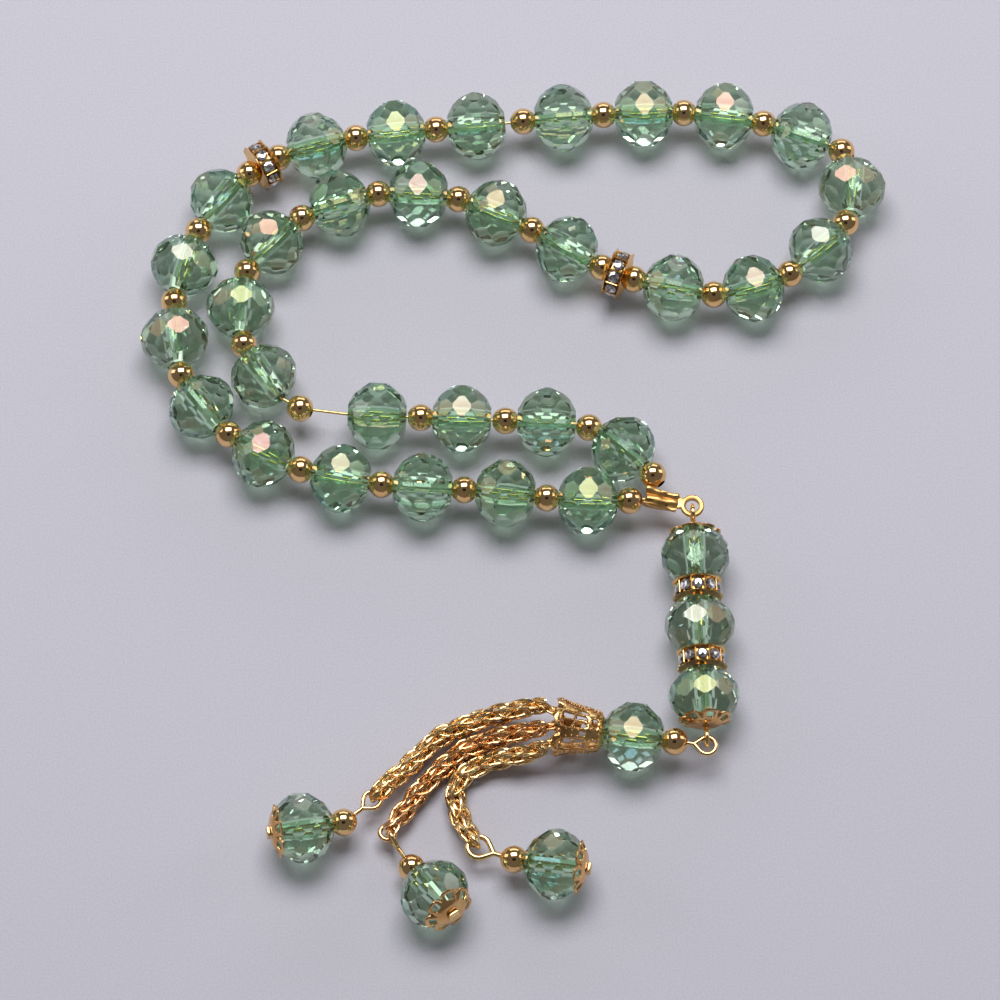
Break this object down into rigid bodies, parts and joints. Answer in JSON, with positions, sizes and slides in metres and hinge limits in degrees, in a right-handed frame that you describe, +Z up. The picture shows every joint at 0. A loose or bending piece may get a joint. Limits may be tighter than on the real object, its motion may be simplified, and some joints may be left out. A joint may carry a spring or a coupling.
{
  "type": "prayer beads",
  "caption": "Loop of faceted glass beads and small metal balls on a wire, with stone-set dividers and a pendant of a beaded bar, a bell cap, rope chains and capped bead drops.",
  "frame": {"origin": "centre of the footprint, on the table", "axes": "+Z up from the table; +Y from the pendant's drops towards the far side of the loop"},
  "size_m": [0.0866, 0.1046, 0.0077],
  "materials": {
    "glass": "clear pale green cut glass with a faint rainbow coating",
    "stone_ring": "gold-plated ring set with small clear stones",
    "flower_cap": "thin pressed copper-gold plate",
    "chain": "gold-plated twisted rope links",
    "bell": "gold-plated filigree",
    "clamp": "bright folded gold-plated sheet",
    "gold": "polished gold plate"
  },
  "bodies": {
    "string_and_clamp": {"string_wire_with_balls": "gold", "clamp": "clamp"},
    "bead_row": {"row_ball_1": "gold", "row_ball_2": "gold"},
    "bar": {"bar_pin": "gold", "bar_cap_top": "flower_cap", "bar_cap_bottom": "flower_cap"},
    "link": {"link_pin": "gold", "bell_cap": "bell"},
    "chain_back": {"chain_back": "chain"},
    "chain_front": {"chain_front": "chain"},
    "chain_middle": {"chain_middle": "chain"},
    "drop_back": {"drop_back_pin": "gold", "drop_back_cap": "flower_cap"},
    "drop_front": {"drop_front_pin": "gold", "drop_front_cap": "flower_cap"},
    "drop_middle": {"drop_middle_pin": "gold", "drop_middle_cap": "flower_cap"},
    "bar_crystal_1": {"bar_crystal_1": "glass"},
    "bar_crystal_2": {"bar_crystal_2": "glass"},
    "bar_crystal_3": {"bar_crystal_3": "glass"},
    "bar_divider_1": {"bar_divider_1": "stone_ring"},
    "bar_divider_2": {"bar_divider_2": "stone_ring"},
    "drop_back_crystal": {"drop_back_crystal": "glass"},
    "drop_front_crystal": {"drop_front_crystal": "glass"},
    "drop_middle_crystal": {"drop_middle_crystal": "glass"},
    "link_crystal": {"link_crystal": "glass"},
    "loop_crystal_01": {"loop_crystal_01": "glass"},
    "loop_crystal_02": {"loop_crystal_02": "glass"},
    "loop_crystal_03": {"loop_crystal_03": "glass"},
    "loop_crystal_04": {"loop_crystal_04": "glass"},
    "loop_crystal_05": {"loop_crystal_05": "glass"},
    "loop_crystal_06": {"loop_crystal_06": "glass"},
    "loop_crystal_07": {"loop_crystal_07": "glass"},
    "loop_crystal_08": {"loop_crystal_08": "glass"},
    "loop_crystal_09": {"loop_crystal_09": "glass"},
    "loop_crystal_10": {"loop_crystal_10": "glass"},
    "loop_crystal_11": {"loop_crystal_11": "glass"},
    "loop_crystal_12": {"loop_crystal_12": "glass"},
    "loop_crystal_13": {"loop_crystal_13": "glass"},
    "loop_crystal_14": {"loop_crystal_14": "glass"},
    "loop_crystal_15": {"loop_crystal_15": "glass"},
    "loop_crystal_16": {"loop_crystal_16": "glass"},
    "loop_crystal_17": {"loop_crystal_17": "glass"},
    "loop_crystal_18": {"loop_crystal_18": "glass"},
    "loop_crystal_19": {"loop_crystal_19": "glass"},
    "loop_crystal_20": {"loop_crystal_20": "glass"},
    "loop_crystal_21": {"loop_crystal_21": "glass"},
    "loop_crystal_22": {"loop_crystal_22": "glass"},
    "loop_crystal_23": {"loop_crystal_23": "glass"},
    "loop_crystal_24": {"loop_crystal_24": "glass"},
    "loop_crystal_25": {"loop_crystal_25": "glass"},
    "loop_crystal_26": {"loop_crystal_26": "glass"},
    "loop_crystal_27": {"loop_crystal_27": "glass"},
    "loop_crystal_28": {"loop_crystal_28": "glass"},
    "loop_crystal_29": {"loop_crystal_29": "glass"},
    "loop_crystal_30": {"loop_crystal_30": "glass"},
    "loop_crystal_31": {"loop_crystal_31": "glass"},
    "loop_divider_1": {"loop_divider_1": "stone_ring"},
    "loop_divider_2": {"loop_divider_2": "stone_ring"}
  },
  "joints": [
    {"name": "bar_swing", "type": "hinge", "parent": "string_and_clamp", "child": "bar", "pos_m": [0.02031, -0.00177, 0.0036], "axis": [0, 0, 1], "range_deg": [-15, 60]},
    {"name": "bead_row_slide", "type": "slide", "parent": "string_and_clamp", "child": "bead_row", "axis": [-0.9991, 0.0415, 0], "range_m": [0, 0.0034]},
    {"name": "chain_back_swing", "type": "hinge", "parent": "link", "child": "chain_back", "pos_m": [0.0039, -0.0265, 0.0035], "axis": [0, 0, 1], "range_deg": [-20, 0]},
    {"name": "chain_front_swing", "type": "hinge", "parent": "link", "child": "chain_front", "pos_m": [0.0037, -0.0307, 0.0035], "axis": [0, 0, 1], "range_deg": [0, 20]},
    {"name": "chain_middle_lift", "type": "hinge", "parent": "link", "child": "chain_middle", "pos_m": [0.0038, -0.0286, 0.0035], "axis": [0.134, 0.991, 0], "range_deg": [0, 40]},
    {"name": "drop_back_swing", "type": "hinge", "parent": "chain_back", "child": "drop_back", "pos_m": [-0.01599, -0.03695, 0.0023], "axis": [0, 0, 1], "range_deg": [-50, 35]},
    {"name": "drop_front_swing", "type": "hinge", "parent": "chain_front", "child": "drop_front", "pos_m": [-0.00403, -0.0425, 0.0022], "axis": [0, 0, 1], "range_deg": [-50, 40]},
    {"name": "drop_middle_lift", "type": "hinge", "parent": "chain_middle", "child": "drop_middle", "pos_m": [-0.01378, -0.04131, 0.0017], "axis": [-0.848, -0.5299, 0], "range_deg": [0, 50]},
    {"name": "link_swing", "type": "hinge", "parent": "bar", "child": "link", "pos_m": [0.02158, -0.03095, 0.0036], "axis": [0, 0, 1], "range_deg": [-5, 80]},
    {"name": "spin_bar_crystal_1", "type": "hinge", "parent": "bar", "child": "bar_crystal_1", "pos_m": [0.02057, -0.00787, 0.0036], "axis": [0.0436, -0.999, 0], "continuous": true},
    {"name": "spin_bar_crystal_2", "type": "hinge", "parent": "bar", "child": "bar_crystal_2", "pos_m": [0.02094, -0.01641, 0.0036], "axis": [0.0436, -0.999, 0], "continuous": true},
    {"name": "spin_bar_crystal_3", "type": "hinge", "parent": "bar", "child": "bar_crystal_3", "pos_m": [0.02132, -0.02495, 0.0036], "axis": [0.0436, -0.999, 0], "continuous": true},
    {"name": "spin_bar_divider_1", "type": "hinge", "parent": "bar", "child": "bar_divider_1", "pos_m": [0.02076, -0.01214, 0.0036], "axis": [0.0436, -0.999, 0], "continuous": true},
    {"name": "spin_bar_divider_2", "type": "hinge", "parent": "bar", "child": "bar_divider_2", "pos_m": [0.02113, -0.02068, 0.0036], "axis": [0.0436, -0.999, 0], "continuous": true},
    {"name": "spin_drop_back_crystal", "type": "hinge", "parent": "drop_back", "child": "drop_back_crystal", "pos_m": [-0.0237, -0.04077, 0.00375], "axis": [-0.9721, -0.189, 0.1392], "continuous": true},
    {"name": "spin_drop_front_crystal", "type": "hinge", "parent": "drop_front", "child": "drop_front_crystal", "pos_m": [0.00448, -0.04506, 0.00375], "axis": [0.9752, -0.172, 0.1392], "continuous": true},
    {"name": "spin_drop_middle_crystal", "type": "hinge", "parent": "drop_middle", "child": "drop_middle_crystal", "pos_m": [-0.0089, -0.04853, 0.00384], "axis": [0.5523, -0.7602, 0.342], "continuous": true},
    {"name": "spin_link_crystal", "type": "hinge", "parent": "link", "child": "link_crystal", "pos_m": [0.01325, -0.02982, 0.0036], "axis": [-0.991, 0.134, 0], "continuous": true},
    {"name": "spin_loop_crystal_01", "type": "hinge", "parent": "string_and_clamp", "child": "loop_crystal_01", "pos_m": [0.01243, 0.00536, 0.0036], "axis": [-0.7538, 0.6571, 0], "continuous": true},
    {"name": "spin_loop_crystal_02", "type": "hinge", "parent": "bead_row", "child": "loop_crystal_02", "pos_m": [0.00369, 0.00872, 0.0036], "axis": [-0.9995, 0.0329, 0], "continuous": true},
    {"name": "spin_loop_crystal_03", "type": "hinge", "parent": "bead_row", "child": "loop_crystal_03", "pos_m": [-0.00604, 0.0091, 0.0036], "axis": [-0.9991, 0.0421, 0], "continuous": true},
    {"name": "spin_loop_crystal_04", "type": "hinge", "parent": "bead_row", "child": "loop_crystal_04", "pos_m": [-0.01577, 0.00953, 0.0036], "axis": [-0.9989, 0.0474, 0], "continuous": true},
    {"name": "spin_loop_crystal_05", "type": "hinge", "parent": "string_and_clamp", "child": "loop_crystal_05", "pos_m": [-0.02894, 0.01453, 0.0036], "axis": [-0.5743, 0.8186, 0], "continuous": true},
    {"name": "spin_loop_crystal_06", "type": "hinge", "parent": "string_and_clamp", "child": "loop_crystal_06", "pos_m": [-0.0318, 0.02324, 0.0036], "axis": [0.0206, 0.9998, 0], "continuous": true},
    {"name": "spin_loop_crystal_07", "type": "hinge", "parent": "string_and_clamp", "child": "loop_crystal_07", "pos_m": [-0.02827, 0.03162, 0.0036], "axis": [0.6689, 0.7434, 0], "continuous": true},
    {"name": "spin_loop_crystal_08", "type": "hinge", "parent": "string_and_clamp", "child": "loop_crystal_08", "pos_m": [-0.02044, 0.03662, 0.0036], "axis": [0.9435, 0.3314, 0], "continuous": true},
    {"name": "spin_loop_crystal_09", "type": "hinge", "parent": "string_and_clamp", "child": "loop_crystal_09", "pos_m": [-0.01118, 0.03795, 0.0036], "axis": [0.9976, -0.0693, 0], "continuous": true},
    {"name": "spin_loop_crystal_10", "type": "hinge", "parent": "string_and_clamp", "child": "loop_crystal_10", "pos_m": [-0.00216, 0.03539, 0.0036], "axis": [0.9071, -0.421, 0], "continuous": true},
    {"name": "spin_loop_crystal_11", "type": "hinge", "parent": "string_and_clamp", "child": "loop_crystal_11", "pos_m": [0.00611, 0.03076, 0.0036], "axis": [0.8537, -0.5208, 0], "continuous": true},
    {"name": "spin_loop_crystal_12", "type": "hinge", "parent": "string_and_clamp", "child": "loop_crystal_12", "pos_m": [0.01851, 0.02577, 0.0036], "axis": [0.9795, -0.2012, 0], "continuous": true},
    {"name": "spin_loop_crystal_13", "type": "hinge", "parent": "string_and_clamp", "child": "loop_crystal_13", "pos_m": [0.02776, 0.0257, 0.0036], "axis": [0.9543, 0.2989, 0], "continuous": true},
    {"name": "spin_loop_crystal_14", "type": "hinge", "parent": "string_and_clamp", "child": "loop_crystal_14", "pos_m": [0.03568, 0.03063, 0.0036], "axis": [0.7463, 0.6656, 0], "continuous": true},
    {"name": "spin_loop_crystal_15", "type": "hinge", "parent": "string_and_clamp", "child": "loop_crystal_15", "pos_m": [0.03951, 0.03877, 0.0036], "axis": [0.0532, 0.9986, 0], "continuous": true},
    {"name": "spin_loop_crystal_16", "type": "hinge", "parent": "string_and_clamp", "child": "loop_crystal_16", "pos_m": [0.0338, 0.04555, 0.0036], "axis": [-0.9421, 0.3353, 0], "continuous": true},
    {"name": "spin_loop_crystal_17", "type": "hinge", "parent": "string_and_clamp", "child": "loop_crystal_17", "pos_m": [0.02471, 0.04808, 0.0036], "axis": [-0.9904, 0.1382, 0], "continuous": true},
    {"name": "spin_loop_crystal_18", "type": "hinge", "parent": "string_and_clamp", "child": "loop_crystal_18", "pos_m": [0.01525, 0.04844, 0.0036], "axis": [-0.9997, -0.0255, 0], "continuous": true},
    {"name": "spin_loop_crystal_19", "type": "hinge", "parent": "string_and_clamp", "child": "loop_crystal_19", "pos_m": [0.00578, 0.04786, 0.0036], "axis": [-0.9958, -0.0916, 0], "continuous": true},
    {"name": "spin_loop_crystal_20", "type": "hinge", "parent": "string_and_clamp", "child": "loop_crystal_20", "pos_m": [-0.00445, 0.04681, 0.0036], "axis": [-0.995, -0.1, 0], "continuous": true},
    {"name": "spin_loop_crystal_21", "type": "hinge", "parent": "string_and_clamp", "child": "loop_crystal_21", "pos_m": [-0.01389, 0.04582, 0.0036], "axis": [-0.9933, -0.1152, 0], "continuous": true},
    {"name": "spin_loop_crystal_22", "type": "hinge", "parent": "string_and_clamp", "child": "loop_crystal_22", "pos_m": [-0.02322, 0.04421, 0.0036], "axis": [-0.9656, -0.2602, 0], "continuous": true},
    {"name": "spin_loop_crystal_23", "type": "hinge", "parent": "string_and_clamp", "child": "loop_crystal_23", "pos_m": [-0.0342, 0.03704, 0.0036], "axis": [-0.6039, -0.797, 0], "continuous": true},
    {"name": "spin_loop_crystal_24", "type": "hinge", "parent": "string_and_clamp", "child": "loop_crystal_24", "pos_m": [-0.03842, 0.02866, 0.0036], "axis": [-0.2745, -0.9616, 0], "continuous": true},
    {"name": "spin_loop_crystal_25", "type": "hinge", "parent": "string_and_clamp", "child": "loop_crystal_25", "pos_m": [-0.03929, 0.01933, 0.0036], "axis": [0.1045, -0.9945, 0], "continuous": true},
    {"name": "spin_loop_crystal_26", "type": "hinge", "parent": "string_and_clamp", "child": "loop_crystal_26", "pos_m": [-0.03603, 0.01068, 0.0036], "axis": [0.6094, -0.7929, 0], "continuous": true},
    {"name": "spin_loop_crystal_27", "type": "hinge", "parent": "string_and_clamp", "child": "loop_crystal_27", "pos_m": [-0.02879, 0.00477, 0.0036], "axis": [0.8839, -0.4677, 0], "continuous": true},
    {"name": "spin_loop_crystal_28", "type": "hinge", "parent": "string_and_clamp", "child": "loop_crystal_28", "pos_m": [-0.01989, 0.00167, 0.0036], "axis": [0.9803, -0.1974, 0], "continuous": true},
    {"name": "spin_loop_crystal_29", "type": "hinge", "parent": "string_and_clamp", "child": "loop_crystal_29", "pos_m": [-0.01048, 0.00059, 0.0036], "axis": [0.9975, -0.0707, 0], "continuous": true},
    {"name": "spin_loop_crystal_30", "type": "hinge", "parent": "string_and_clamp", "child": "loop_crystal_30", "pos_m": [-0.00103, -0.00017, 0.0036], "axis": [0.9942, -0.1072, 0], "continuous": true},
    {"name": "spin_loop_crystal_31", "type": "hinge", "parent": "string_and_clamp", "child": "loop_crystal_31", "pos_m": [0.0084, -0.00115, 0.0036], "axis": [0.9989, -0.0472, 0], "continuous": true},
    {"name": "spin_loop_divider_1", "type": "hinge", "parent": "string_and_clamp", "child": "loop_divider_1", "pos_m": [0.01202, 0.02754, 0.0036], "axis": [0.9312, -0.3646, 0], "continuous": true},
    {"name": "spin_loop_divider_2", "type": "hinge", "parent": "string_and_clamp", "child": "loop_divider_2", "pos_m": [-0.02941, 0.04168, 0.0036], "axis": [-0.848, -0.53, 0], "continuous": true}
  ]
}
